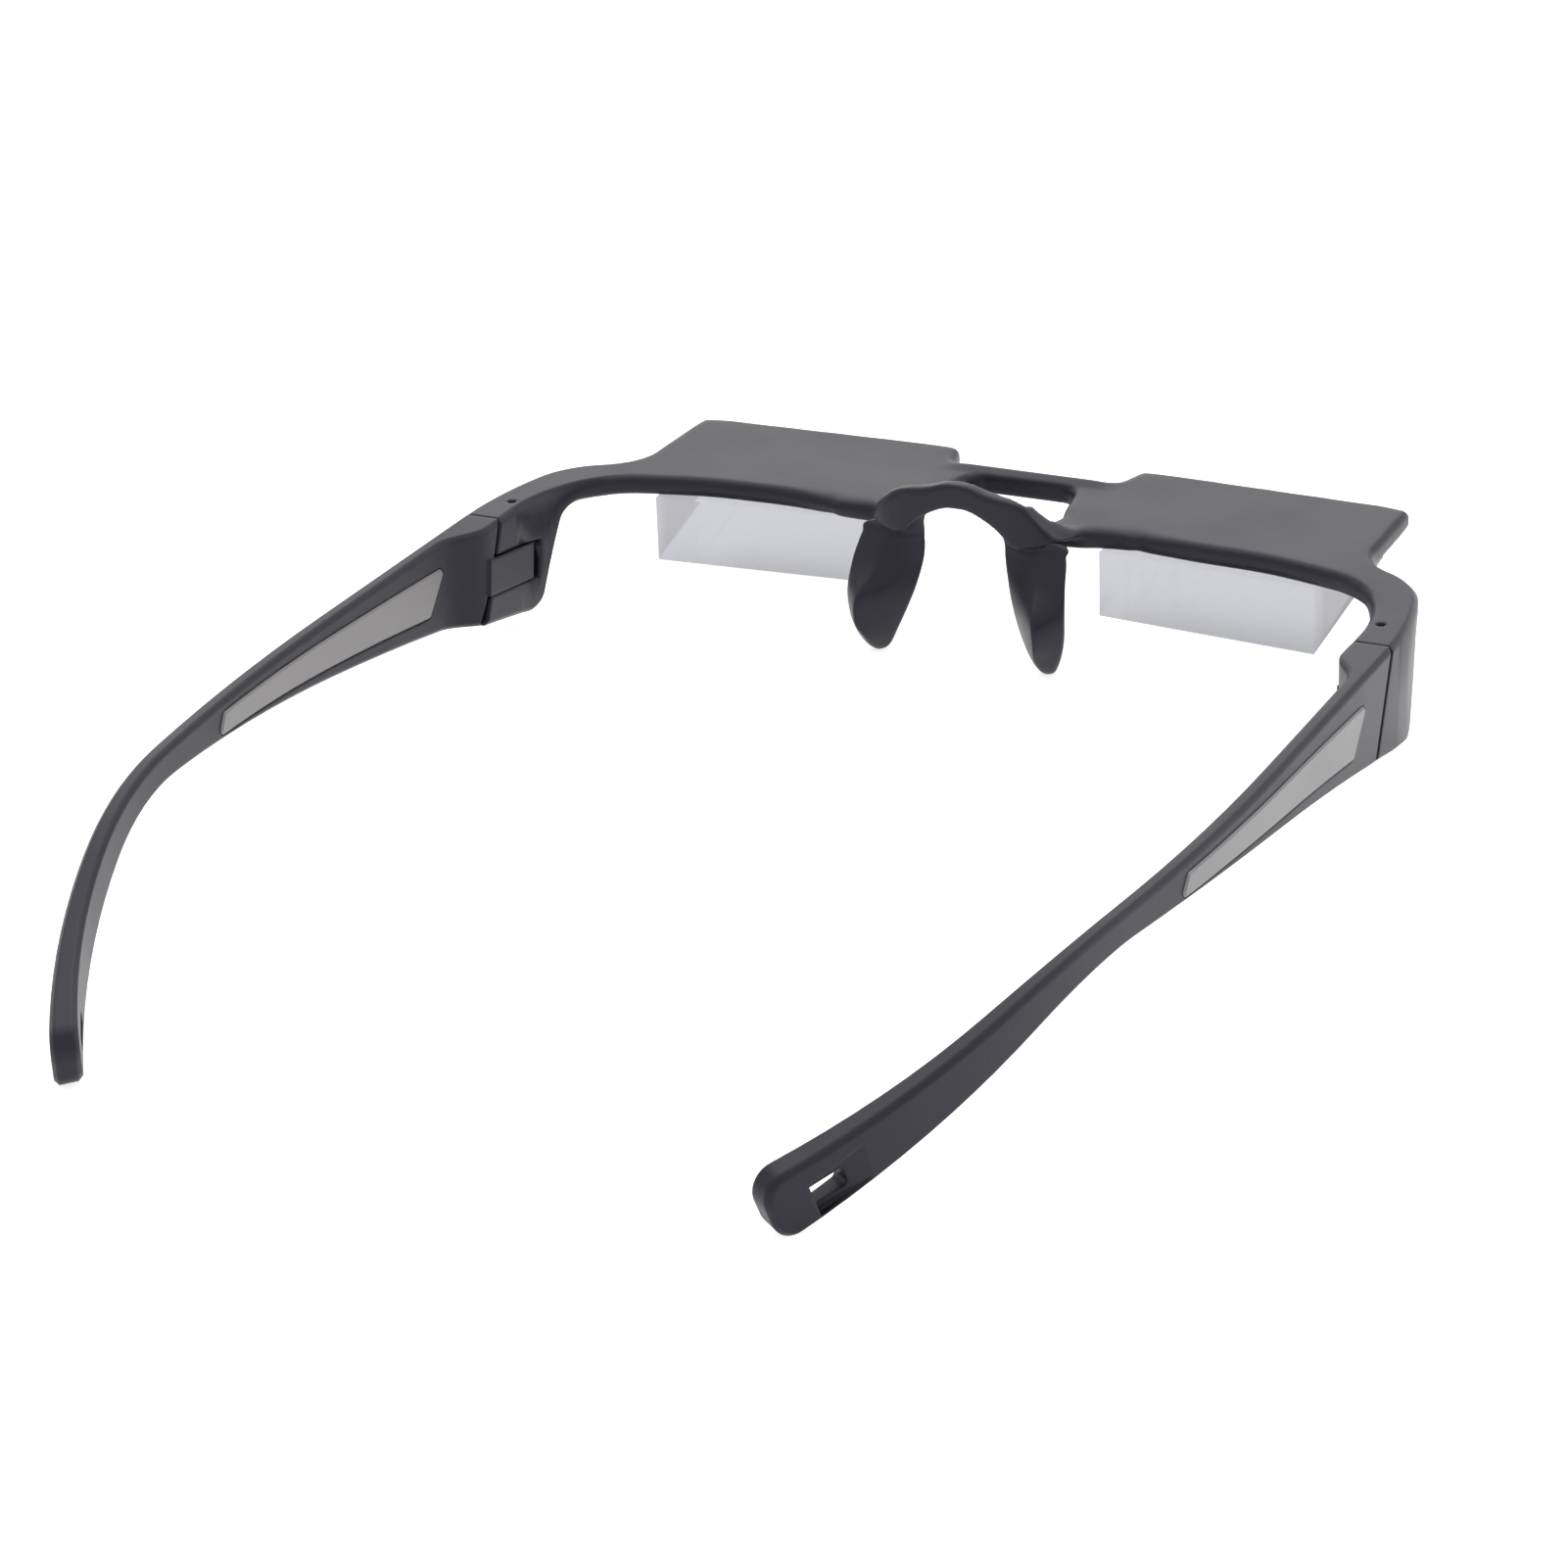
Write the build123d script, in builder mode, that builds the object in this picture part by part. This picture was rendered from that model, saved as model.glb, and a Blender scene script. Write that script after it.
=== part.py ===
from build123d import *
import os

# Prism glasses for reading while lying down: two flat decks carry a prism each,
# a saddle bridge with two nose pads sits between them, and two temples fold on pins.
# +X is the wearer's left, +Y runs from the decks back to the ear tips, +Z is up.

# Whole object
whole_depth = 201.5
deck_height = 20.1

# Front frame: the decks and the brow behind them
deck_thickness = 3.1
deck_inner_x = 14.8
deck_outer_x = 58.0
deck_setback = 1.5
deck_flare = 0.4
deck_side_end_y = 18.4
shoulder_x = 63.2
shoulder_y = 26.1
cheek_x = 70.1
cheek_y = 34.6
cheek_end_y = 50.0
temple_outer_x = 72.6
brow_root_x = 15.2
brow_root_y = 27.8
brow_step_x = 22.0
brow_step_length = 3.8
brow_step_depth = 2.6
brow_middle_x = 42.2
brow_middle_y = 26.6
brow_end_x = 56.0
brow_end_y = 29.7
jamb_x = 63.2
jamb_y = 35.7
jaw_x = 66.4
jaw_y = 48.0

# Front bar and the gap between the decks
bar_front_y = 7.1
bar_depth = 3.2
bar_front_round = 2.6
bar_deck_lean = 1.2
gap_front_half = 9.0
gap_rear_half = 10.7
gap_rear_y = 22.5
gap_round = 2.8

# Saddle bridge over the nose
arch_rise = 8.1
arch_crown_clear = 4.3
arch_half_span = 16.4
arch_foot_x = 9.3
arch_foot_depth = 0.8
arch_reach_y = 36.0
arch_band = 2.2
arch_waist_x = 12.8
arch_waist_y = 30.2
arch_haunch_x = 10.4
arch_haunch_y = 32.7
arch_slope_y = 26.4
arch_slope_run = 7.0
# Each pair: share of the half span, share of the rise
arch_top_shares = (
    (0.0, 1.0), (0.12, 0.99), (0.24, 0.91), (0.47, 0.825),
    (0.6, 0.745), (0.72, 0.575), (0.85, 0.35), (1.0, 0.0),
)
# Each pair: share of the foot's distance, share of the clear height from the foot to the crown
arch_bottom_shares = (
    (0.0, 1.0), (0.206, 0.978), (0.424, 0.819), (0.63, 0.594), (0.782, 0.361), (0.9, 0.12), (1.0, 0.0)
)
# Each pair: share of the half span, share of the reach behind the brow's root
arch_rear_shares = ((0.0, 1.0), (0.555, 0.988), (0.738, 0.854), (0.884, 0.634), (0.976, 0.33), (1.01, 0.0))

# End pieces that carry the hinges
end_depth = 18.3
end_under_y = 36.7
end_toe_y = 42.3
end_toe_round = 3.2
end_root_round = 4.0
frame_bevel = 0.7
deck_corner_round = 1.2
seam_y = 52.4
seam_lean = 22.0
seam_gap = 0.35

# Hinges
pin_x = 68.4
pin_y = 45.6
pin_tilt = 8.0
pin_radius = 0.7
pin_recess = 0.7
pin_length = 14.6
pin_chamfer = 0.15
pin_seat_clearance = 0.02
pin_running_clearance = 0.05
tongue_top = 6.55
tongue_height = 5.55
tongue_radius = 2.9
tongue_clearance = 0.3
slot_clearance = 0.25
tongue_corner = 0.8
slot_front = 4.5
tongue_inner = 2.3
tongue_run = 10.5

# Temples
temple_thickness = 2.55
straight_end_y = 96.0
sweep_radius = 400.0
sweep_turn = 7.0
hook_radius = 135.0
hook_taper = 10.45
hook_turn = 30.0
block_end_y = 56.0
block_blend = 9.5
top_straight_end_y = 143.0
top_drop_radius = 100.0
top_drop_turn = 15.0
belly_middle_y = 96.7
belly_middle_depth = 8.9
neck_y = 140.0
neck_depth = 4.65
neck_turn_radius = 57.0
neck_rise = 4.2
tip_fall = 18.95
tip_share = 0.8647
tip_depth = 15.6
tip_lean = 20.0
tip_round = 3.2
temple_bevel = 0.6
# Faces count as upright while their normal rises less than this
level_share = 0.2

# Silver inlays let into the temples
inlay_top_front_y = 63.8
inlay_bottom_front_y = 69.1
inlay_bottom_rear_y = 129.0
inlay_top_rear_y = 127.1
inlay_top_front_depth = 3.9
inlay_bottom_front_depth = 10.2
inlay_bottom_rear_depth = 4.6
inlay_top_rear_depth = 1.6
inlay_middle_y = 97.0
inlay_top_middle_depth = 2.35
inlay_bottom_middle_depth = 6.95
inlay_clearance = 0.15
inlay_corner_round = 0.8
inlay_proud = 0.3
inlay_bevel = 0.28

# Cord slots at the ear tips
cord_slot_share = 0.74
cord_slot_depth = 15.6
cord_slot_length = 5.0
cord_slot_height = 2.6
cord_slot_round = 0.6
scoop_length = 9.0
scoop_height = 4.8
scoop_depth = 1.3

# Nose pads: five corners at each level on the way down from the bridge's foot to the toe
pad_reach_y = 41.6
pad_front_y = 28.0
pad_inner_x = 6.0
pad_outer_x = 17.4
# Each level: x share and y share of the inner edge, the rear ridge, the outer edge,
# the outer front corner and the inner front corner
pad_level_shares = (
    ((0.000, 0.360), (0.474, 0.412), (0.895, 0.353), (0.667, 0.015), (0.281, 0.015)),
    ((0.035, 0.360), (0.584, 0.662), (0.974, 0.574), (0.711, 0.147), (0.263, 0.147)),
    ((0.132, 0.412), (0.702, 1.000), (1.000, 0.647), (0.772, 0.287), (0.307, 0.250)),
    ((0.254, 0.463), (0.711, 0.985), (0.974, 0.625), (0.807, 0.360), (0.404, 0.338)),
    ((0.386, 0.485), (0.658, 0.831), (0.921, 0.588), (0.781, 0.382), (0.491, 0.368)),
    ((0.553, 0.441), (0.649, 0.574), (0.781, 0.500), (0.746, 0.390), (0.596, 0.382)),
    ((0.632, 0.441), (0.675, 0.485), (0.728, 0.456), (0.715, 0.412), (0.658, 0.412)),
)
pad_drop_shares = (0.000, 0.259, 0.460, 0.658, 0.808, 0.953, 1.000)

# Prisms
prism_inner_x = 18.5
prism_rear_y = 26.2
prism_length = 34.4
prism_turn = 4.65
prism_height = 10.1
prism_depth = 24.4
prism_rise = 14.5
glue_film = 0.1

# Planes that the outlines are drawn on: from above, from the side and from behind
front_y = -whole_depth / 2
plan = Plane(origin=(0, front_y, deck_height))
side = Plane(origin=(0, front_y, deck_height), x_dir=(0, 1, 0), z_dir=(1, 0, 0))
elevation = Plane(origin=(0, front_y, deck_height), x_dir=(1, 0, 0), z_dir=(0, -1, 0))
hinge = Plane(
    origin=(pin_x, front_y + pin_y, deck_height),
    x_dir=(1, 0, 0),
    z_dir=Vector(0, 0, 1).rotate(Axis.X, pin_tilt),
)

# Half of the frame from above: deck, brow and end piece
with BuildSketch(plan) as half_frame:
    with BuildLine():
        bar_front = Line((0, bar_front_y), (deck_inner_x - bar_deck_lean - bar_front_round, bar_front_y))
        bar_corner = RadiusArc(
            bar_front @ 1,
            (deck_inner_x - bar_deck_lean, bar_front_y - bar_front_round),
            bar_front_round,
        )
        Line(bar_corner @ 1, (deck_inner_x, 0))
        Line((deck_inner_x, 0), (deck_outer_x, deck_setback))
        deck_side = Line((deck_outer_x, deck_setback), (deck_outer_x + deck_flare, deck_side_end_y))
        shoulder = TangentArc(deck_side @ 1, (shoulder_x, shoulder_y), tangent=deck_side % 1)
        cheek = TangentArc(shoulder @ 1, (cheek_x, cheek_y), tangent=shoulder % 1)
        face = TangentArc(cheek @ 1, (temple_outer_x, cheek_end_y), tangent=cheek % 1)
        Line(face @ 1, (temple_outer_x, seam_y + end_depth))
        Line((temple_outer_x, seam_y + end_depth), (jaw_x, seam_y + end_depth))
        jaw = Line((jaw_x, seam_y + end_depth), (jaw_x, jaw_y))
        jamb = TangentArc(jaw @ 1, (jamb_x, jamb_y), tangent=jaw % 1)
        brow_end = TangentArc(jamb @ 1, (brow_end_x, brow_end_y), tangent=jamb % 1)
        brow = ThreePointArc(
            brow_end @ 1,
            (brow_middle_x, brow_middle_y),
            (brow_step_x + brow_step_length, brow_root_y - brow_step_depth),
        )
        Spline(brow @ 1, (brow_step_x, brow_root_y), tangents=[brow % 1, (-1, 0)])
        Line((brow_step_x, brow_root_y), (brow_root_x - deck_thickness, brow_root_y))
        Line((brow_root_x - deck_thickness, brow_root_y), (gap_rear_half, gap_rear_y))
        gap_side = Line(
            (gap_rear_half, gap_rear_y),
            (gap_front_half, bar_front_y + bar_depth + gap_round),
        )
        gap_corner = TangentArc(
            gap_side @ 1,
            (gap_front_half - gap_round, bar_front_y + bar_depth),
            tangent=gap_side % 1,
        )
        Line(gap_corner @ 1, (0, bar_front_y + bar_depth))
        Line((0, bar_front_y + bar_depth), (0, bar_front_y))
    make_face()

# Saddle bridge: its outline from above cut by its outline from behind
with BuildPart() as arch:
    with BuildSketch(plan.offset(arch_rise + arch_band)):
        with BuildLine():
            rear = Spline(
                [
                    (arch_half_span * across, brow_root_y + (arch_reach_y - brow_root_y) * back)
                    for across, back in arch_rear_shares
                ],
                tangents=[(1, 0), (arch_band, -arch_reach_y)],
            )
            foot_side = Line(rear @ 1, ((rear @ 1).X, gap_rear_y))
            Line(foot_side @ 1, (gap_rear_half, gap_rear_y))
            Line((gap_rear_half, gap_rear_y), (brow_root_x - deck_thickness, brow_root_y))
            waist = Spline(
                (brow_root_x - deck_thickness, brow_root_y),
                (arch_waist_x, arch_waist_y),
                (arch_haunch_x, arch_haunch_y),
                (0, arch_reach_y - arch_band),
                tangents=[(gap_rear_half - gap_front_half, bar_front_y), (-1, 0)],
            )
            Line(waist @ 1, rear @ 0)
        make_face()
        mirror(about=Plane.YZ)
    extrude(amount=-(arch_rise + arch_foot_depth + 2 * arch_band))
    with BuildSketch(elevation):
        with BuildLine():
            top = Spline(
                [(arch_half_span * across, arch_rise * up) for across, up in arch_top_shares],
                tangents=[(1, 0), (arch_half_span, -arch_rise - arch_foot_depth)],
            )
            Line(top @ 1, (arch_half_span, -arch_foot_depth))
            Line((arch_half_span, -arch_foot_depth), (arch_foot_x, -arch_foot_depth))
            bottom = Spline(
                [
                    (arch_foot_x * across, (arch_crown_clear + arch_foot_depth) * up - arch_foot_depth)
                    for across, up in reversed(arch_bottom_shares)
                ],
            )
            Line(bottom @ 1, top @ 0)
        make_face()
        mirror(about=Plane.YZ)
    extrude(amount=whole_depth, both=True, mode=Mode.INTERSECT)
    # In front the feet slope up from the level of the deck
    with BuildSketch(side):
        Polygon(
            (arch_slope_y, 0),
            (arch_slope_y + arch_slope_run, arch_rise),
            (gap_front_half, arch_rise),
            (gap_front_half, 0),
            align=None,
        )
    extrude(amount=whole_depth, both=True, mode=Mode.SUBTRACT)

# The hinge side of the object is drawn on the wearer's left and mirrored to the right
seam = Plane(
    origin=(0, front_y + seam_y, deck_height),
    x_dir=(1, 0, 0),
    z_dir=Vector(0, 1, 0).rotate(Axis.X, seam_lean),
)
slot_top = tongue_top - tongue_clearance
slot_height = tongue_height + 2 * tongue_clearance
slot_radius = tongue_radius + slot_clearance + tongue_corner

# Side view of the half frame: the thin deck, the end piece's steep front, its toe and its underside
with BuildSketch(side) as half_side:
    with BuildLine():
        under_deck = Line((-deck_thickness, -deck_thickness), (end_under_y, -deck_thickness))
        end_front = Line(under_deck @ 1, (end_toe_y, -end_depth))
        belly = ThreePointArc(end_front @ 1, (belly_middle_y, -belly_middle_depth), (neck_y, -neck_depth))
        Polyline(belly @ 1, (neck_y, 0), (-deck_thickness, 0), under_deck @ 0)
    make_face()
    fillet(half_side.vertices().sort_by_distance(under_deck @ 1)[0], radius=end_root_round)
    fillet(half_side.vertices().sort_by(Axis.Y)[0], radius=end_toe_round)

# Left half of the front frame: its outline from above cut by its outline from the side
with BuildPart() as left_half:
    extrude(half_frame.sketch, amount=-end_depth - deck_thickness)
    extrude(half_side.sketch, amount=temple_outer_x, mode=Mode.INTERSECT)
    # Lower edges: the flanks of the end piece's front, whose bevel runs on around the deck
    front_flanks = left_half.faces().sort_by_distance(
        (
            (jamb_x + temple_outer_x) / 2,
            front_y + (end_under_y + end_toe_y) / 2,
            deck_height - (deck_thickness + end_depth) / 2,
        )
    )
    flank_edges = front_flanks[0].edges().sort_by(Axis.X)
    chamfer((flank_edges[0], flank_edges[-1]), length=frame_bevel)
    # The deck's two front corners, then all edges of the top but those around the bridge gap
    fillet(left_half.edges().filter_by(Axis.Z).sort_by(Axis.Y)[:2], radius=deck_corner_round)
    top_edges = [
        edge
        for edge in left_half.faces().sort_by(Axis.Z)[-1].edges()
        if edge.center().X > bar_depth / 2 and edge.center().Y < front_y + seam_y + end_depth / 2
    ]
    gap_edges = [
        edge
        for edge in top_edges
        if edge.center().X < deck_inner_x
        and front_y + bar_front_y + bar_depth / 2 < edge.center().Y
        and edge.center().Y < front_y + (gap_rear_y + brow_root_y) / 2
    ]
    chamfer([edge for edge in top_edges if edge not in gap_edges], length=frame_bevel)
    # The leaning seam in front of the temple ends the frame
    split(bisect_by=seam, keep=Keep.BOTTOM)
    # Slot for the temple's tongue, open to the rear and to the inner side
    with BuildSketch(hinge.offset(-slot_top)):
        Circle(slot_radius)
        with Locations((tongue_radius + slot_clearance, 0)):
            Rectangle(slot_radius, 2 * slot_radius, align=(Align.MIN, Align.CENTER), mode=Mode.SUBTRACT)
            Rectangle(jaw_x, end_depth, align=(Align.MAX, Align.MIN))
        with Locations((-pin_radius, 0)):
            Rectangle(jaw_x, slot_front, align=(Align.MAX, Align.MAX))
    extrude(amount=-slot_height, mode=Mode.SUBTRACT)
    # Blind hole for the hinge pin, through the upper lug and into the lower one
    with Locations(hinge.offset(pin_recess)):
        Hole(pin_radius + pin_seat_clearance, depth=2 * pin_recess + pin_length + tongue_clearance)

# Front frame: one moulding with both decks, the bar, the bridge and the end pieces
with BuildPart() as front_frame:
    add(left_half.part)
    mirror(left_half.part, about=Plane.YZ)
    add(arch.part)

with BuildPart() as temple_left:
    with BuildSketch(plan) as temple_band:
        with BuildLine():
            outer_side = Line((temple_outer_x, seam_y), (temple_outer_x, straight_end_y))
            outer_sweep = JernArc(outer_side @ 1, outer_side % 1, sweep_radius, sweep_turn)
            outer_hook = JernArc(outer_sweep @ 1, outer_sweep % 1, hook_radius, hook_turn)
            block = Line((jaw_x, seam_y), (jaw_x, block_end_y))
            blend = Spline(
                block @ 1,
                (temple_outer_x - temple_thickness, block_end_y + block_blend),
                tangents=[(0, 1), (0, 1)],
            )
            inner_side = Line(blend @ 1, (temple_outer_x - temple_thickness, straight_end_y))
            inner_radius = sweep_radius - temple_thickness
            inner_sweep = JernArc(inner_side @ 1, inner_side % 1, inner_radius, sweep_turn)
            inner_hook = JernArc(
                inner_sweep @ 1, inner_sweep % 1, hook_radius - temple_thickness - hook_taper, hook_turn
            )
            Line(outer_side @ 0, block @ 0)
            Line(outer_hook @ 1, inner_hook @ 1)
        make_face()
    extrude(amount=-deck_height - deck_thickness)
    with BuildSketch(side) as temple_side:
        with BuildLine():
            crest = Line((end_toe_y, 0), (top_straight_end_y, 0))
            drop = JernArc(crest @ 1, crest % 1, top_drop_radius, -top_drop_turn)
            tail = PolarLine(drop @ 1, hook_radius, direction=drop % 1)
            underside = ThreePointArc(
                (end_toe_y, -end_depth), (belly_middle_y, -belly_middle_depth), (neck_y, -neck_depth)
            )
            neck = JernArc(underside @ 1, underside % 1, neck_turn_radius, -neck_rise - tip_fall)
            under_tail = PolarLine(neck @ 1, hook_radius, direction=neck % 1)
            Line(crest @ 0, underside @ 0)
            Line(tail @ 1, under_tail @ 1)
        make_face()
    extrude(amount=whole_depth, both=True, mode=Mode.INTERSECT)
    split(bisect_by=seam.offset(seam_gap), keep=Keep.TOP)
    # The tip is cut square to the hook's run, which falls towards its end
    tip_point = outer_hook @ tip_share
    tip_run = outer_hook % tip_share
    tip_out = Vector(tip_run.Y, -tip_run.X, 0)
    tip_down = tip_run.rotate(Axis((0, 0, 0), tip_out), -tip_lean)
    tip_origin = Vector(tip_point.X, front_y + tip_point.Y, deck_height - tip_depth)
    split(bisect_by=Plane(origin=tip_origin, z_dir=tip_down), keep=Keep.BOTTOM)
    tip_edges = temple_left.faces().sort_by(Axis.Y)[-1].edges().sort_by(Axis.Z)
    fillet((tip_edges[0], tip_edges[-1]), radius=tip_round)
    # The edges of the two long faces are bevelled in one chain that runs around the tip
    long_faces = temple_left.faces().filter_by(lambda face: abs(face.normal_at().Z) < level_share)
    long_faces = long_faces.filter_by(lambda face: abs(face.normal_at().X) > level_share)
    face_edges = long_faces.edges()
    seam_edges = temple_left.faces().sort_by(Axis.Y)[0].edges()
    long_edges = [
        edge for edge in face_edges if face_edges.count(edge) < 2 and edge not in seam_edges
    ]
    chamfer(long_edges, length=temple_bevel)
    # Tongue that enters the frame's slot and turns on the pin
    with BuildSketch(hinge.offset(-tongue_top)):
        Circle(tongue_radius)
        with Locations((-tongue_inner, -tongue_radius)):
            Rectangle(tongue_inner, tongue_radius, align=(Align.MIN, Align.MIN))
        with Locations((tongue_radius, 0)):
            Rectangle(tongue_radius + tongue_inner, tongue_run, align=(Align.MAX, Align.MIN))
        with Locations((-tongue_inner, 0)):
            Rectangle(tongue_radius, 3 * tongue_radius, align=(Align.MAX, Align.CENTER), mode=Mode.SUBTRACT)
    extrude(amount=-tongue_height)
    with Locations(hinge):
        Hole(pin_radius + pin_running_clearance, depth=end_depth)
    # Window for the inlay, right through the temple
    with BuildSketch(side) as inlay_outline:
        with BuildLine():
            inlay_top = ThreePointArc(
                (inlay_top_front_y, -inlay_top_front_depth),
                (inlay_middle_y, -inlay_top_middle_depth),
                (inlay_top_rear_y, -inlay_top_rear_depth),
            )
            inlay_rear = Line(inlay_top @ 1, (inlay_bottom_rear_y, -inlay_bottom_rear_depth))
            inlay_bottom = ThreePointArc(
                inlay_rear @ 1,
                (inlay_middle_y, -inlay_bottom_middle_depth),
                (inlay_bottom_front_y, -inlay_bottom_front_depth),
            )
            Line(inlay_bottom @ 1, inlay_top @ 0)
        make_face()
        fillet(inlay_outline.vertices(), radius=inlay_corner_round)
    window = offset(inlay_outline.sketch, amount=inlay_clearance, mode=Mode.PRIVATE)
    extrude(window, amount=whole_depth, mode=Mode.SUBTRACT)
    # Cord slot in a scoop on the tip's outer face
    slot_point = outer_hook @ cord_slot_share
    slot_run = outer_hook % cord_slot_share
    slot_out = Vector(slot_run.Y, -slot_run.X, 0)
    slot_down = slot_run.rotate(Axis((0, 0, 0), slot_out), -tip_lean)
    slot_origin = Vector(slot_point.X, front_y + slot_point.Y, deck_height - cord_slot_depth)
    with BuildSketch(Plane(origin=slot_origin, x_dir=slot_down, z_dir=slot_out)):
        RectangleRounded(cord_slot_length, cord_slot_height, radius=cord_slot_round)
    extrude(amount=2 * temple_thickness, both=True, mode=Mode.SUBTRACT)
    with BuildSketch(Plane(origin=slot_origin, x_dir=slot_down, z_dir=slot_out.cross(slot_down))):
        with BuildLine():
            Polyline(
                (cord_slot_length / 2 - scoop_length, 0),
                (cord_slot_length / 2, scoop_depth),
                (cord_slot_length / 2, -scoop_depth),
                (cord_slot_length / 2 - scoop_length, -scoop_depth),
                close=True,
            )
        make_face()
    extrude(amount=scoop_height / 2, both=True, mode=Mode.SUBTRACT)

# Inlay: the window's outline less its clearance, a little proud of both faces of the temple
with BuildPart() as temple_inlay_left:
    with BuildSketch(plan):
        with BuildLine():
            outer_run = Line(
                (temple_outer_x + inlay_proud, seam_y), (temple_outer_x + inlay_proud, straight_end_y)
            )
            outer_bend = JernArc(outer_run @ 1, outer_run % 1, sweep_radius + inlay_proud, sweep_turn)
            inlay_inner_x = temple_outer_x - temple_thickness - inlay_proud
            inlay_inner_radius = sweep_radius - temple_thickness - inlay_proud
            inner_run = Line((inlay_inner_x, seam_y), (inlay_inner_x, straight_end_y))
            inner_bend = JernArc(inner_run @ 1, inner_run % 1, inlay_inner_radius, sweep_turn)
            Line(outer_run @ 0, inner_run @ 0)
            Line(outer_bend @ 1, inner_bend @ 1)
        make_face()
    extrude(amount=-deck_height)
    extrude(inlay_outline.sketch, amount=whole_depth, mode=Mode.INTERSECT)
    inlay_faces = temple_inlay_left.faces().filter_by(
        lambda face: abs(face.normal_at().X) > 1 - level_share
    )
    rims = inlay_faces.edges()
    chamfer([rim for rim in rims if rims.count(rim) < 2], length=inlay_bevel)

# Hinge pin, sunk below the top of the end piece
with BuildPart() as hinge_pin_left:
    with BuildSketch(hinge.offset(-pin_recess)):
        Circle(pin_radius)
    extrude(amount=-pin_length)
    chamfer(hinge_pin_left.edges(), length=pin_chamfer)

# Nose pad: a curved wedge lofted down from the bridge's foot to a rounded toe
with BuildPart() as nose_pad_left:
    pad_width = pad_outer_x - pad_inner_x
    pad_depth = pad_reach_y - pad_front_y
    pad_height = deck_height - arch_foot_depth
    for drop_share, corner_shares in zip(pad_drop_shares, pad_level_shares):
        with BuildSketch(plan.offset(-arch_foot_depth - pad_height * drop_share)):
            with BuildLine():
                Polyline(
                    [
                        (pad_inner_x + pad_width * across, pad_front_y + pad_depth * back)
                        for across, back in corner_shares
                    ],
                    close=True,
                )
            make_face()
    loft()

# Prism: a wedge glued under the deck with its tall face to the rear
prism_plane = Plane(
    origin=(prism_inner_x, front_y + prism_rear_y, deck_height - deck_thickness - glue_film),
    x_dir=Vector(0, 1, 0).rotate(Axis.Z, prism_turn),
    z_dir=Vector(1, 0, 0).rotate(Axis.Z, prism_turn),
)
with BuildPart() as prism_left:
    with BuildSketch(prism_plane):
        with BuildLine():
            under = PolarLine(
                (0, -prism_height), prism_depth, 180 - prism_rise, length_mode=LengthMode.HORIZONTAL
            )
            Polyline(under @ 1, (-prism_depth, 0), (0, 0), (0, -prism_height))
        make_face()
    extrude(amount=prism_length)

# The wearer's right is the mirror image of the left
with BuildPart() as temple_right:
    mirror(temple_left.part, about=Plane.YZ)
with BuildPart() as temple_inlay_right:
    mirror(temple_inlay_left.part, about=Plane.YZ)
with BuildPart() as hinge_pin_right:
    mirror(hinge_pin_left.part, about=Plane.YZ)
with BuildPart() as nose_pad_right:
    mirror(nose_pad_left.part, about=Plane.YZ)
with BuildPart() as prism_right:
    mirror(prism_left.part, about=Plane.YZ)

front_frame.part.label = "front_frame"
nose_pad_left.part.label = "nose_pad_left"
nose_pad_right.part.label = "nose_pad_right"
prism_left.part.label = "prism_left"
prism_right.part.label = "prism_right"
temple_left.part.label = "temple_left"
temple_right.part.label = "temple_right"
temple_inlay_left.part.label = "temple_inlay_left"
temple_inlay_right.part.label = "temple_inlay_right"
hinge_pin_left.part.label = "hinge_pin_left"
hinge_pin_right.part.label = "hinge_pin_right"

os.makedirs("parts", exist_ok=True)
export_step(front_frame.part, "parts/front_frame.step")
export_step(nose_pad_left.part, "parts/nose_pad_left.step")
export_step(nose_pad_right.part, "parts/nose_pad_right.step")
export_step(prism_left.part, "parts/prism_left.step")
export_step(prism_right.part, "parts/prism_right.step")
export_step(temple_left.part, "parts/temple_left.step")
export_step(temple_right.part, "parts/temple_right.step")
export_step(temple_inlay_left.part, "parts/temple_inlay_left.step")
export_step(temple_inlay_right.part, "parts/temple_inlay_right.step")
export_step(hinge_pin_left.part, "parts/hinge_pin_left.step")
export_step(hinge_pin_right.part, "parts/hinge_pin_right.step")

box = temple_left.part.bounding_box()
print("tip reaches", box.max.Y - front_y, "lowest", box.min.Z)
print("hinge at", hinge.origin, "axis", hinge.z_dir)
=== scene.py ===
import math

import bmesh
import bpy
from mathutils import Matrix, Vector


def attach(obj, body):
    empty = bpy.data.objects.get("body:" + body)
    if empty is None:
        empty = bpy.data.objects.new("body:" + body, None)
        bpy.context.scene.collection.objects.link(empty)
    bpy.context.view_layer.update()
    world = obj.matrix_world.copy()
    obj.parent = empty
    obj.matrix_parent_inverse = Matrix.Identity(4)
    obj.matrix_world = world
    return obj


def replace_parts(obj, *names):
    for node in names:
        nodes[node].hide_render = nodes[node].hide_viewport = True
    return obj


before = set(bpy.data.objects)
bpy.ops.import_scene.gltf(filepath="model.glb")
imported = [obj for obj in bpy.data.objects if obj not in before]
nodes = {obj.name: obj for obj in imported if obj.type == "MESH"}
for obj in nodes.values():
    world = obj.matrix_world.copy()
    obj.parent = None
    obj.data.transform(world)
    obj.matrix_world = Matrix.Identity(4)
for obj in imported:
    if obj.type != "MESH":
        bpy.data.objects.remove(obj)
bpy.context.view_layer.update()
print("prism bed glasses: frame loaded,", len(nodes), "moulded and turned pieces")


def placed(name, data):
    piece = bpy.data.objects.new(name, data)
    bpy.context.scene.collection.objects.link(piece)
    return piece


def edited(mesh, change):
    form = bmesh.new()
    form.from_mesh(mesh)
    change(form)
    form.to_mesh(mesh)
    form.free()


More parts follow.
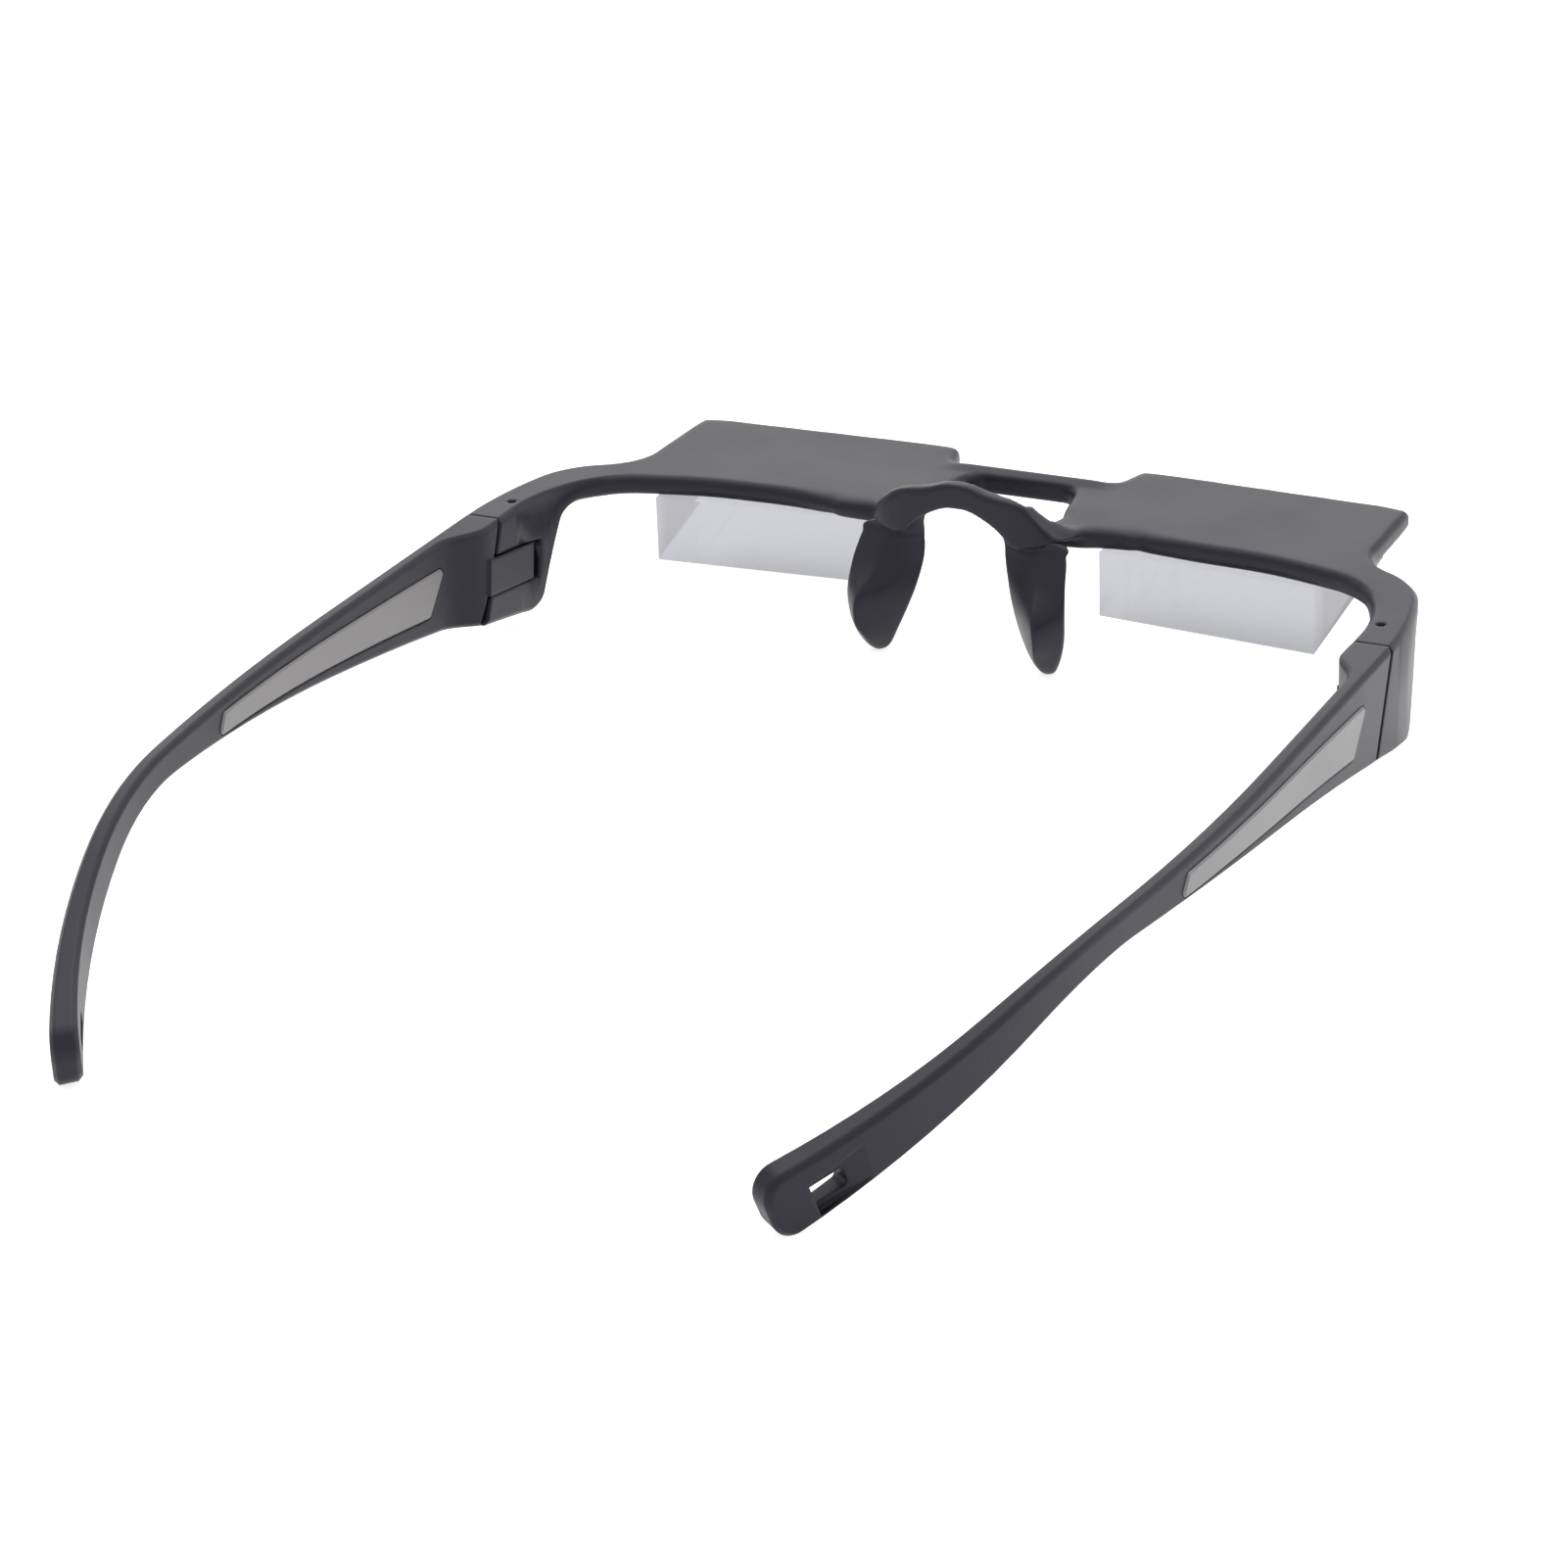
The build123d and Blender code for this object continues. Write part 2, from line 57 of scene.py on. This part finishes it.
def newMaterial(name):
    mat = bpy.data.materials.new(name)
    mat.use_nodes = True
    tree = mat.node_tree
    tree.nodes.clear()
    out = tree.nodes.new("ShaderNodeOutputMaterial")
    bsdf = tree.nodes.new("ShaderNodeBsdfPrincipled")
    tree.links.new(bsdf.outputs["BSDF"], out.inputs["Surface"])
    return mat, tree, bsdf


def newGroup(name, inputs, outputs):
    group = bpy.data.node_groups.new(name, "ShaderNodeTree")
    for label, kind, value in inputs:
        socket = group.interface.new_socket(name=label, in_out="INPUT", socket_type=kind)
        socket.default_value = value
    for label, kind in outputs:
        group.interface.new_socket(name=label, in_out="OUTPUT", socket_type=kind)
    return group, group.nodes.new("NodeGroupInput"), group.nodes.new("NodeGroupOutput")


def setSockets(node, values):
    for socket, value in values.items():
        node.inputs[socket].default_value = value


def mathNode(tree, operation, first, second):
    node = tree.nodes.new("ShaderNodeMath")
    node.operation = operation
    for slot, value in enumerate((first, second)):
        if hasattr(value, "links"):
            tree.links.new(value, node.inputs[slot])
        else:
            node.inputs[slot].default_value = value
    return node.outputs[0]


def useMaterial(names, mat):
    for name in names:
        mesh = nodes[name].data
        mesh.materials.clear()
        mesh.materials.append(mat)


# Camera, at the photograph's angle: degrees, millimetres of lens, and metres.
cameraSet = {
    "azimuth": 206.44,
    "elevation": 24.15,
    "roll": -2.15,
    "lens": 109.46,
    "sensor": 36,
    "place": (-0.26509, 0.52747, 0.27252),
    "clip": (0.01, 20),
}


def makeCamera(s):
    a, e, r = (math.radians(s[k]) for k in ("azimuth", "elevation", "roll"))
    back = Vector((math.sin(a) * math.cos(e), -math.cos(a) * math.cos(e), math.sin(e)))
    right = (-back).cross(Vector((0, 0, 1))).normalized()
    up = right.cross(-back)
    tiltRight = right * math.cos(r) + up * math.sin(r)
    tiltUp = up * math.cos(r) - right * math.sin(r)
    data = bpy.data.cameras.new("photoCamera")
    data.lens = s["lens"]
    data.sensor_width = s["sensor"]
    data.sensor_fit = "HORIZONTAL"
    data.clip_start, data.clip_end = s["clip"]
    cam = placed("photoCamera", data)
    turn = Matrix((tiltRight, tiltUp, back)).transposed().to_4x4()
    cam.matrix_world = Matrix.Translation(Vector(s["place"])) @ turn
    bpy.context.scene.camera = cam


makeCamera(cameraSet)
print("camera set at the photograph's angle")


# Studio: a floor of white paper, an even white world and three soft lamps.
studio = {
    "floorSize": 6.0,
    "floorColour": (0.82, 0.82, 0.825, 1),
    "floorRough": 0.9,
    "floorGloss": 0.1,
    "floorLift": 0.75,  # takes the paper to white where the camera sees it
    "worldLight": 0.6,  # what reaches the glasses, and the camera sees 1
    "white": (1, 1, 1, 1),
    "lamps": {
        "topSoftbox": {"at": (0.1, -0.3, 1.2), "aim": (0, 0, 0), "size": 1.2, "watts": 7.0},
        "frontSoftbox": {"at": (0.75, -1.5, 0.75), "aim": (0, 0, 0), "size": 1.5, "watts": 4.5},
        "sideSoftbox": {"at": (-1.15, -0.75, 0.38), "aim": (0, 0, 0), "size": 0.9, "watts": 4.2},
    },
}


def seenDirectly(tree):
    path = tree.nodes.new("ShaderNodeLightPath")
    first = mathNode(tree, "MAXIMUM", path.outputs["Is Camera Ray"], path.outputs["Is Glossy Ray"])
    return mathNode(tree, "MAXIMUM", first, path.outputs["Is Transmission Ray"])


def makeFloor(s):
    half = s["floorSize"] / 2
    mesh = bpy.data.meshes.new("studioFloor")
    corners = [(-half, -half, 0), (half, -half, 0), (half, half, 0), (-half, half, 0)]
    mesh.from_pydata(corners, [], [(0, 1, 2, 3)])
    floor = placed("studioFloor", mesh)
    mat, tree, bsdf = newMaterial("floorPaper")
    setSockets(bsdf, {
        "Base Color": s["floorColour"],
        "Roughness": s["floorRough"],
        "Specular IOR Level": s["floorGloss"],
        "Emission Color": s["white"],
    })
    lift = mathNode(tree, "MULTIPLY", seenDirectly(tree), s["floorLift"])
    tree.links.new(lift, bsdf.inputs["Emission Strength"])
    mesh.materials.append(mat)


def makeWorld(s):
    world = bpy.data.worlds.new("studioWorld")
    world.use_nodes = True
    tree = world.node_tree
    background = tree.nodes["Background"]
    background.inputs["Color"].default_value = s["white"]
    spare = mathNode(tree, "MULTIPLY", seenDirectly(tree), 1 - s["worldLight"])
    tree.links.new(mathNode(tree, "ADD", spare, s["worldLight"]), background.inputs["Strength"])
    bpy.context.scene.world = world


def makeLamps(s):
    for name, lamp in s["lamps"].items():
        data = bpy.data.lights.new(name, "AREA")
        data.shape = "SQUARE"
        data.size = lamp["size"]
        data.energy = lamp["watts"]
        light = placed(name, data)
        light.location = lamp["at"]
        aim = Vector(lamp["aim"]) - Vector(lamp["at"])
        light.rotation_euler = aim.to_track_quat("-Z", "Y").to_euler()


makeFloor(studio)
makeWorld(studio)
makeLamps(studio)
bpy.context.scene.view_settings.view_transform = "Standard"
print("studio lit")


# Satin grain, shared by every finish but the clear one: the fine cells that a spark-eroded
# mould leaves, with a slower drift of polish over them.
satinGrain = {
    "cellScale": 2400.0, "cellDetail": 3, "cellRough": 0.6,
    "polishScale": 60.0, "polishDetail": 4,
    "polishReach": (0.3, 0.7),  # lowest and highest polish that is turned into roughness
    "grainDepth": 0.0001,
    "edgeSamples": 6,
}
mixSocket = {"share": 0, "first": 6, "second": 7, "result": 2}  # a Mix node's colour sockets


def makeSatinGrain(s):
    group, inp, out = newGroup(
        "satinGrain",
        [("Cell Scale", "NodeSocketFloat", s["cellScale"]),
         ("Polish Scale", "NodeSocketFloat", s["polishScale"])],
        [("Height", "NodeSocketFloat"), ("Polish", "NodeSocketFloat")],
    )
    place = group.nodes.new("ShaderNodeTexCoord")
    cells = group.nodes.new("ShaderNodeTexNoise")
    setSockets(cells, {"Detail": s["cellDetail"], "Roughness": s["cellRough"]})
    polish = group.nodes.new("ShaderNodeTexNoise")
    setSockets(polish, {"Detail": s["polishDetail"]})
    for noise, scale in ((cells, "Cell Scale"), (polish, "Polish Scale")):
        group.links.new(place.outputs["Object"], noise.inputs["Vector"])
        group.links.new(inp.outputs[scale], noise.inputs["Scale"])
    group.links.new(cells.outputs["Fac"], out.inputs["Height"])
    group.links.new(polish.outputs["Fac"], out.inputs["Polish"])
    return group


satinGroup = makeSatinGrain(satinGrain)


def grainInto(tree, bsdf, s):
    grain = tree.nodes.new("ShaderNodeGroup")
    grain.node_tree = satinGroup
    setSockets(grain, {"Cell Scale": s["cells"], "Polish Scale": s["polish"]})
    bump = tree.nodes.new("ShaderNodeBump")
    setSockets(bump, {"Strength": s["bump"], "Distance": satinGrain["grainDepth"]})
    tree.links.new(grain.outputs["Height"], bump.inputs["Height"])
    if "soften" in s:
        # edges run into each other as on a moulding that has left a polished tool
        soft = tree.nodes.new("ShaderNodeBevel")
        soft.samples = satinGrain["edgeSamples"]
        setSockets(soft, {"Radius": s["soften"]})
        tree.links.new(soft.outputs["Normal"], bump.inputs["Normal"])
    tree.links.new(bump.outputs["Normal"], bsdf.inputs["Normal"])

    rough = tree.nodes.new("ShaderNodeMapRange")
    (dull, bright), (least, most) = satinGrain["polishReach"], s["rough"]
    setSockets(rough, {"From Min": dull, "From Max": bright, "To Min": least, "To Max": most})
    tree.links.new(grain.outputs["Polish"], rough.inputs["Value"])
    tree.links.new(rough.outputs["Result"], bsdf.inputs["Roughness"])

    tone = tree.nodes.new("ShaderNodeMix")
    tone.data_type = "RGBA"
    setSockets(tone, {mixSocket["first"]: s["dark"], mixSocket["second"]: s["light"]})
    tree.links.new(grain.outputs["Polish"], tone.inputs[mixSocket["share"]])
    tree.links.new(tone.outputs[mixSocket["result"]], bsdf.inputs["Base Color"])


# Black mouldings: frame, temples and pads, each a little different in grain and tone.
blackMoulding = {
    "satinBlackFrame": {
        "on": ["front_frame"],
        "cells": 2400.0, "polish": 55.0, "bump": 0.25, "soften": 0.0009,
        "rough": (0.34, 0.42), "specular": 0.32, "sheen": (0.87, 0.855, 1.0, 1),
        "dark": (0.0092, 0.0088, 0.0140, 1), "light": (0.0132, 0.0127, 0.0190, 1),
    },
    "satinBlackTemple": {
        "on": ["temple_left", "temple_right"],
        "cells": 2600.0, "polish": 40.0, "bump": 0.22, "soften": 0.0007,
        "rough": (0.36, 0.46), "specular": 0.32, "sheen": (0.87, 0.855, 1.0, 1),
        "dark": (0.0098, 0.0099, 0.0150, 1), "light": (0.0138, 0.0139, 0.0200, 1),
    },
    "satinBlackPad": {
        "on": [],
        "cells": 2800.0, "polish": 160.0, "bump": 0.18,
        "rough": (0.36, 0.46), "specular": 0.30, "sheen": (0.87, 0.855, 1.0, 1),
        "dark": (0.0125, 0.0130, 0.0180, 1), "light": (0.0175, 0.0180, 0.0240, 1),
    },
}

mouldings = {}
for name, s in blackMoulding.items():
    mat, tree, bsdf = newMaterial(name)
    grainInto(tree, bsdf, s)
    setSockets(bsdf, {"Specular IOR Level": s["specular"], "Specular Tint": s["sheen"]})
    useMaterial(s["on"], mat)
    mouldings[name] = mat
print("black mouldings finished")


# Front frame: its two ends are the CAD moulding. The middle, with the bar, the bridge and the
# brow's step, is the same moulding made one skin of small cells. It is then moved a little
# towards the photograph, and smoothed until one form runs into the next.
# Places are metres across from the middle, back from the deck's front and up from its top.
frontFrame = {
    "deckFront": -0.10075,
    "deckTop": 0.0201,
    "weld": 0.000002,
    "halfSpan": 0.0600,  # where the middle meets the CAD ends
    "trim": 0.0010,  # spare length, cut off once the cells are made
    "hem": 0.0004,  # outermost strip, which is never smoothed
    "fade": 0.0035,  # from the hem to full smoothing
    "voxel": 0.00030,
    "browStep": {  # outer and inner end of the step, and how far back it reaches
        "was": (0.0258, 0.0220), "nowLeft": (0.0350, 0.0175), "nowRight": (0.0235, 0.0115),
        "deep": 0.0026, "from": 0.0190, "full": 0.0245,
    },
    "browFill": {"deep": 0.0008, "inner": (0.0170, 0.0240), "outer": (0.0330, 0.0470)},
    "footRight": {"from": 0.0106, "to": 0.0172},  # level with the deck beyond this
    "footPlate": {"low": (0.0098, 0.0228, -0.0028), "high": (0.0170, 0.0278, -0.0001)},
    "barTop": {
        "halfWidth": 0.0150, "front": 0.0071, "rear": 0.0103, "rise": 0.00065,
        "side": 0.0050, "deep": 0.0010,  # over which the rise comes in, from the side and below
    },
    "smoothStrength": 0.5,
    "smoothRise": 0.0012,  # over which smoothing comes in above a level
    "smoothing": [  # everywhere first, then round single places on both sides
        {"rounds": 12},
        {"rounds": 150, "at": (0.0160, 0.0285, 0.0000), "reach": 0.0090, "above": -0.0024},
        {"rounds": 90, "at": (0.0245, 0.0265, -0.0010), "reach": 0.0090},
        {"rounds": 60, "at": (0.0122, 0.0300, 0.0042), "reach": 0.0080, "above": 0.0002},
        {"rounds": 200, "at": (0.0110, 0.0240, -0.0014), "reach": 0.0060},
        {"rounds": 60, "at": (0.0150, 0.0030, -0.0010), "reach": 0.0070},
        {"rounds": 120, "at": (0.0585, 0.0010, -0.0015), "reach": 0.0060},
    ],
}


def clamped(t):
    return min(1.0, max(0.0, t))


def eased(t):
    t = clamped(t)
    return t * t * (3 - 2 * t)  # from 0 to 1, level at both ends


def between(value, start, end):
    return eased((value - start) / (end - start))


def deckCorner(s):
    return Vector((0, s["deckFront"], s["deckTop"]))


def weldedCopy(name, s):
    mesh = nodes["front_frame"].data.copy()
    mesh.name = name
    edited(mesh, lambda form: bmesh.ops.remove_doubles(form, verts=form.verts, dist=s["weld"]))
    return placed(name, mesh)


def cutAt(piece, walls, closed):
    def cut(form):
        for place, out in walls:
            everything = form.verts[:] + form.edges[:] + form.faces[:]
            bmesh.ops.bisect_plane(
                form, geom=everything, plane_co=place, plane_no=out, clear_outer=True)
            if closed:
                rims = [edge for edge in form.edges if edge.is_boundary]
                bmesh.ops.holes_fill(form, edges=rims, sides=0)

    edited(piece.data, cut)


def appliedMesh(piece):
    graph = bpy.context.evaluated_depsgraph_get()
    graph.update()
    mesh = bpy.data.meshes.new_from_object(piece.evaluated_get(graph))
    piece.modifiers.clear()
    piece.data = mesh
    return mesh


def addFootPlates(piece, s):
    base = deckCorner(s)
    low, high = s["footPlate"]["low"], s["footPlate"]["high"]

    def add(form):
        for side in (1, -1):
            corners = bmesh.ops.create_cube(form, size=1)["verts"]
            for v in corners:
                ends = [lo if c < 0 else hi for c, lo, hi in zip(v.co, low, high)]
                v.co = base + Vector(ends)
                v.co.x *= side
            faces = list({face for v in corners for face in v.link_faces})
            bmesh.ops.recalc_face_normals(form, faces=faces)

    edited(piece.data, add)


def reshape(piece, s):
    base = deckCorner(s)
    step, fill, foot, bar = s["browStep"], s["browFill"], s["footRight"], s["barTop"]
    for v in piece.data.vertices:
        x, y, z = abs(v.co.x), v.co.y - base.y, v.co.z - base.z
        rearward = between(y, step["from"], step["full"])
        # the brow's step is drawn out, further on the left than on the right
        now = step["nowLeft"] if v.co.x > 0 else step["nowRight"]
        v.co.y += (between(x, *now) - between(x, *step["was"])) * step["deep"] * rearward
        # the brow is a little fuller outside the step
        share = between(x, *fill["inner"]) * between(x, *reversed(fill["outer"]))
        v.co.y += share * fill["deep"] * rearward
        # the right foot of the bridge runs out level with the deck
        if v.co.x < 0 and z > 0:
            v.co.z -= z * between(x, foot["from"], foot["to"])
        # the bar's top rises towards the front
        if x < bar["halfWidth"] and y < bar["rear"] + s["voxel"] and z > -bar["deep"]:
            along = clamped((bar["rear"] - y) / (bar["rear"] - bar["front"]))
            inward = eased((bar["halfWidth"] - x) / bar["side"])
            v.co.z += bar["rise"] * along * inward * eased(z / bar["deep"] + 1)


def nearness(place, step, rise):
    if "at" not in step:
        return 1.0
    away = (Vector((abs(place.x), place.y, place.z)) - Vector(step["at"])).length
    share = eased(1 - away / step["reach"])
    if "above" in step:
        share *= eased((place.z - step["above"]) / rise)
    return share


def smooth(piece, s):
    base = deckCorner(s)
    for step in s["smoothing"]:
        before = [v.co.copy() for v in piece.data.vertices]
        rounds = piece.modifiers.new("soften", "SMOOTH")
        rounds.factor = s["smoothStrength"]
        rounds.iterations = step["rounds"]
        mesh = appliedMesh(piece)
        for v, was in zip(mesh.vertices, before):
            share = clamped((s["halfSpan"] - s["hem"] - abs(was.x)) / s["fade"])
            share *= nearness(was - base, step, s["smoothRise"])
            v.co = was.lerp(v.co, share)
    for face in mesh.polygons:
        face.use_smooth = True


def makeFrontFrame(s):
    piece = weldedCopy("frontFrameMoulding", s)
    outwards = [Vector((side, 0, 0)) for side in (1, -1)]
    cutAt(piece, [(out * (s["halfSpan"] + s["trim"]), out) for out in outwards], True)
    addFootPlates(piece, s)
    cells = piece.modifiers.new("voxels", "REMESH")
    cells.mode = "VOXEL"
    cells.voxel_size = s["voxel"]
    appliedMesh(piece)
    cutAt(piece, [(out * s["halfSpan"], out) for out in outwards], False)
    reshape(piece, s)
    smooth(piece, s)

    def joinEnds(form):  # the seam stays open, so that no shading line runs round it
        for out in outwards:
            end = weldedCopy("frameEnd", s)
            cutAt(end, [(out * s["halfSpan"], -out)], False)
            form.from_mesh(end.data)
            bpy.data.objects.remove(end)

    edited(piece.data, joinEnds)
    piece.data.materials.clear()
    piece.data.materials.append(mouldings["satinBlackFrame"])
    for face in piece.data.polygons:
        face.material_index = 0
    return piece


framePiece = makeFrontFrame(frontFrame)
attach(framePiece, "frame")
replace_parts(framePiece, "front_frame")
print("front frame formed:", len(framePiece.data.polygons), "faces")


# Nose pads: soft closed forms over the CAD pads, with a rounded toe, in millimetres.
# Each level: height above the toes, then inner edge, rear ridge, outer edge, outer front
# corner and inner front corner, each across from the middle and back from the deck's front.
nosePad = {
    "levels": [
        (23.20, (5.0, 34.3), (6.0, 35.5), (8.0, 35.4), (7.8, 34.4), (6.0, 34.1)),
        (21.30, (5.6, 33.7), (8.2, 35.0), (11.5, 34.6), (11.0, 33.2), (7.4, 33.2)),
        (19.30, (6.0, 33.1), (11.0, 34.2), (16.3, 32.9), (13.6, 28.8), (8.8, 29.8)),
        (18.10, (6.1, 33.0), (11.5, 34.7), (16.5, 33.5), (13.7, 28.9), (9.0, 29.3)),
        (16.90, (6.1, 32.9), (12.0, 35.4), (16.8, 34.2), (13.9, 29.0), (9.1, 29.0)),
        (14.30, (6.4, 32.9), (12.7, 37.1), (17.2, 35.8), (14.1, 30.0), (9.0, 30.0)),
        (10.43, (7.4, 33.5), (14.0, 41.2), (17.5, 36.8), (14.8, 31.9), (9.5, 31.4)),
        (6.60, (8.8, 34.2), (14.2, 41.3), (17.3, 36.5), (15.2, 32.9), (10.6, 32.6)),
        (3.70, (10.1, 34.5), (13.6, 39.4), (16.7, 36.1), (15.0, 33.2), (11.5, 32.9)),
        (1.50, (11.2, 34.4), (13.5, 37.1), (15.7, 35.4), (14.8, 33.3), (12.2, 33.1)),
        (0.45, (12.1, 34.3), (13.5, 35.6), (14.9, 34.8), (14.4, 33.5), (12.8, 33.4)),
        (0.03, (13.1, 34.3), (13.5, 34.7), (14.0, 34.5), (13.9, 34.0), (13.4, 34.0)),
    ],
    "deckFront": -100.75,
    "perMetre": 1000,
    "steps": 5,  # rows from one level to the next
    "rounding": (0.9, 0.55, 0.9, 1.2, 1.2),  # at the corners, in the levels' order
    "roundingShare": 0.4,  # the most that a corner takes of a side
    "roundingPoints": 6,
    "sidePoints": 2,
}


def alongLevels(rows, steps):
    # Catmull-Rom rows between the measured ones, so that the pad has no bands
    dense = []
    last = len(rows) - 1
    for i in range(last):
        before, here = rows[max(i - 1, 0)], rows[i]
        there, after = rows[i + 1], rows[min(i + 2, last)]
        for k in range(steps):
            t = k / steps
            dense.append([
                0.5 * (2 * b + (c - a) * t + (2 * a - 5 * b + 4 * c - d) * t * t
                       + (3 * b - a - 3 * c + d) * t ** 3)
                for a, b, c, d in zip(before, here, there, after)
            ])
    dense.append(list(rows[last]))
    return dense


def roundedRing(corners, s):
    # each corner becomes a short parabola, and each side keeps a few points of its own
    ring = []
    for i, corner in enumerate(corners):
        n = (i + 1) % len(corners)
        p, nextCorner = Vector(corner), Vector(corners[n])
        toLast, toNext = Vector(corners[i - 1]) - p, nextCorner - p
        here, there = s["rounding"][i], s["rounding"][n]
        a = p + toLast * min(here / toLast.length, s["roundingShare"])
        b = p + toNext * min(here / toNext.length, s["roundingShare"])
        c = nextCorner - toNext * min(there / toNext.length, s["roundingShare"])
        for k in range(s["roundingPoints"]):
            t = k / (s["roundingPoints"] - 1)
            ring.append(a * (1 - t) ** 2 + p * 2 * t * (1 - t) + b * t * t)
        for k in range(s["sidePoints"]):
            ring.append(b.lerp(c, (k + 1) / (s["sidePoints"] + 1)))
    return ring


def makePad(name, side, s):
    rows = [[z] + [v for corner in corners for v in corner] for z, *corners in s["levels"]]
    rings = alongLevels(rows, s["steps"])
    verts, faces = [], []
    for height, *flat in rings:
        corners = list(zip(flat[0::2], flat[1::2]))
        for x, y in roundedRing(corners, s):
            point = (side * x, y + s["deckFront"], height)
            verts.append(tuple(v / s["perMetre"] for v in point))
    count = len(verts) // len(rings)
    for level in range(len(rings) - 1):
        here, there = level * count, (level + 1) * count
        for k in range(count):
            n = (k + 1) % count
            faces.append((here + k, here + n, there + n, there + k))
    caps = [tuple(range(count)), tuple(range(len(verts) - 1, len(verts) - 1 - count, -1))]
    mesh = bpy.data.meshes.new(name)
    mesh.from_pydata(verts, [], faces + caps)
    edited(mesh, lambda form: bmesh.ops.recalc_face_normals(form, faces=form.faces))
    for face in mesh.polygons:
        face.use_smooth = len(face.vertices) < count  # the two caps stay flat
    mesh.materials.append(mouldings["satinBlackPad"])
    pad = placed(name, mesh)
    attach(pad, "frame")
    return pad


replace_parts(makePad("nosePadLeft", 1, nosePad), "nose_pad_left")
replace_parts(makePad("nosePadRight", -1, nosePad), "nose_pad_right")
print("nose pads formed")


def metalFinish(name, s):
    mat, tree, bsdf = newMaterial(name)
    grainInto(tree, bsdf, s)
    setSockets(bsdf, {"Metallic": s["metal"]})
    useMaterial(s["on"], mat)


# Inlays: silver-grey lacquer in the temples.
silverInlay = {
    "on": ["temple_inlay_left", "temple_inlay_right"],
    "cells": 1800.0, "polish": 90.0, "bump": 0.12, "rough": (0.30, 0.40), "metal": 0.4,
    "dark": (0.20, 0.193, 0.195, 1), "light": (0.235, 0.226, 0.228, 1),
}
metalFinish("satinSilverInlay", silverInlay)
print("inlays finished")


# Prisms: clear acrylic. The upright bands are painted reflections: the reflections inside the two
# wedges, painted as lighter and darker tones fixed across each prism's width. The outer end faces
# get a darker tone, which is painted shade.
clearPrism = {
    "on": ["prism_left", "prism_right"],
    "ior": 1.04, "rough": 0.06, "clear": 0.92,
    "tint": (0.46, 0.463, 0.487),
    "span": 0.1062,  # from the outer end of one prism to that of the other
    "paintedLightBands": [  # metres across from the middle, and how light the painted tone is there: painted shade at the outer ends, painted reflections between
        (-0.0531, 0.60), (-0.05295, 0.60), (-0.0529, 0.975), (-0.0320, 0.985),
        (-0.0307, 0.955), (-0.0300, 0.985), (-0.0262, 0.975), (-0.0256, 0.945),
        (-0.0248, 0.985), (-0.0236, 0.985), (-0.0231, 0.94), (-0.0226, 0.99),
        (-0.0213, 1.0), (-0.0185, 1.0),
        (0.0185, 0.97), (0.0400, 0.98), (0.0439, 1.0), (0.0461, 0.995),
        (0.0468, 0.93), (0.0474, 0.975), (0.0491, 0.955), (0.0497, 0.935),
        (0.0503, 0.96), (0.0529, 0.955), (0.05295, 0.60),
    ],
}


def clearFinish(name, s):
    mat, tree, bsdf = newMaterial(name)
    place = tree.nodes.new("ShaderNodeTexCoord")
    axes = tree.nodes.new("ShaderNodeSeparateXYZ")
    tree.links.new(place.outputs["Object"], axes.inputs["Vector"])
    across = tree.nodes.new("ShaderNodeMapRange")
    setSockets(across, {"From Min": -s["span"] / 2, "From Max": s["span"] / 2})
    tree.links.new(axes.outputs["X"], across.inputs["Value"])
    # the painted reflections, and the painted shade on the end faces, as a ramp of tones across
    # the prisms
    paintedLightBands = tree.nodes.new("ShaderNodeValToRGB")
    stops = paintedLightBands.color_ramp.elements
    given = len(stops)  # a new ramp comes with a first and a last stop
    for i, (x, level) in enumerate(s["paintedLightBands"]):
        share = x / s["span"] + 0.5
        stop = stops[i] if i < given else stops.new(share)
        stop.position = share
        stop.color = [level * tint for tint in s["tint"]] + [1]
    tree.links.new(across.outputs["Result"], paintedLightBands.inputs["Fac"])
    tree.links.new(paintedLightBands.outputs["Color"], bsdf.inputs["Base Color"])
    setSockets(bsdf, {
        "Transmission Weight": s["clear"],
        "IOR": s["ior"],
        "Roughness": s["rough"],
    })
    useMaterial(s["on"], mat)


clearFinish("clearAcrylic", clearPrism)
print("prisms finished")


# Hinge pins: plain turned steel.
steelPin = {
    "on": ["hinge_pin_left", "hinge_pin_right"],
    "cells": 1500.0, "polish": 300.0, "bump": 0.2, "rough": (0.25, 0.4), "metal": 1,
    "dark": (0.045, 0.045, 0.048, 1), "light": (0.08, 0.08, 0.084, 1),
}
metalFinish("turnedSteelPin", steelPin)
print("pins finished")
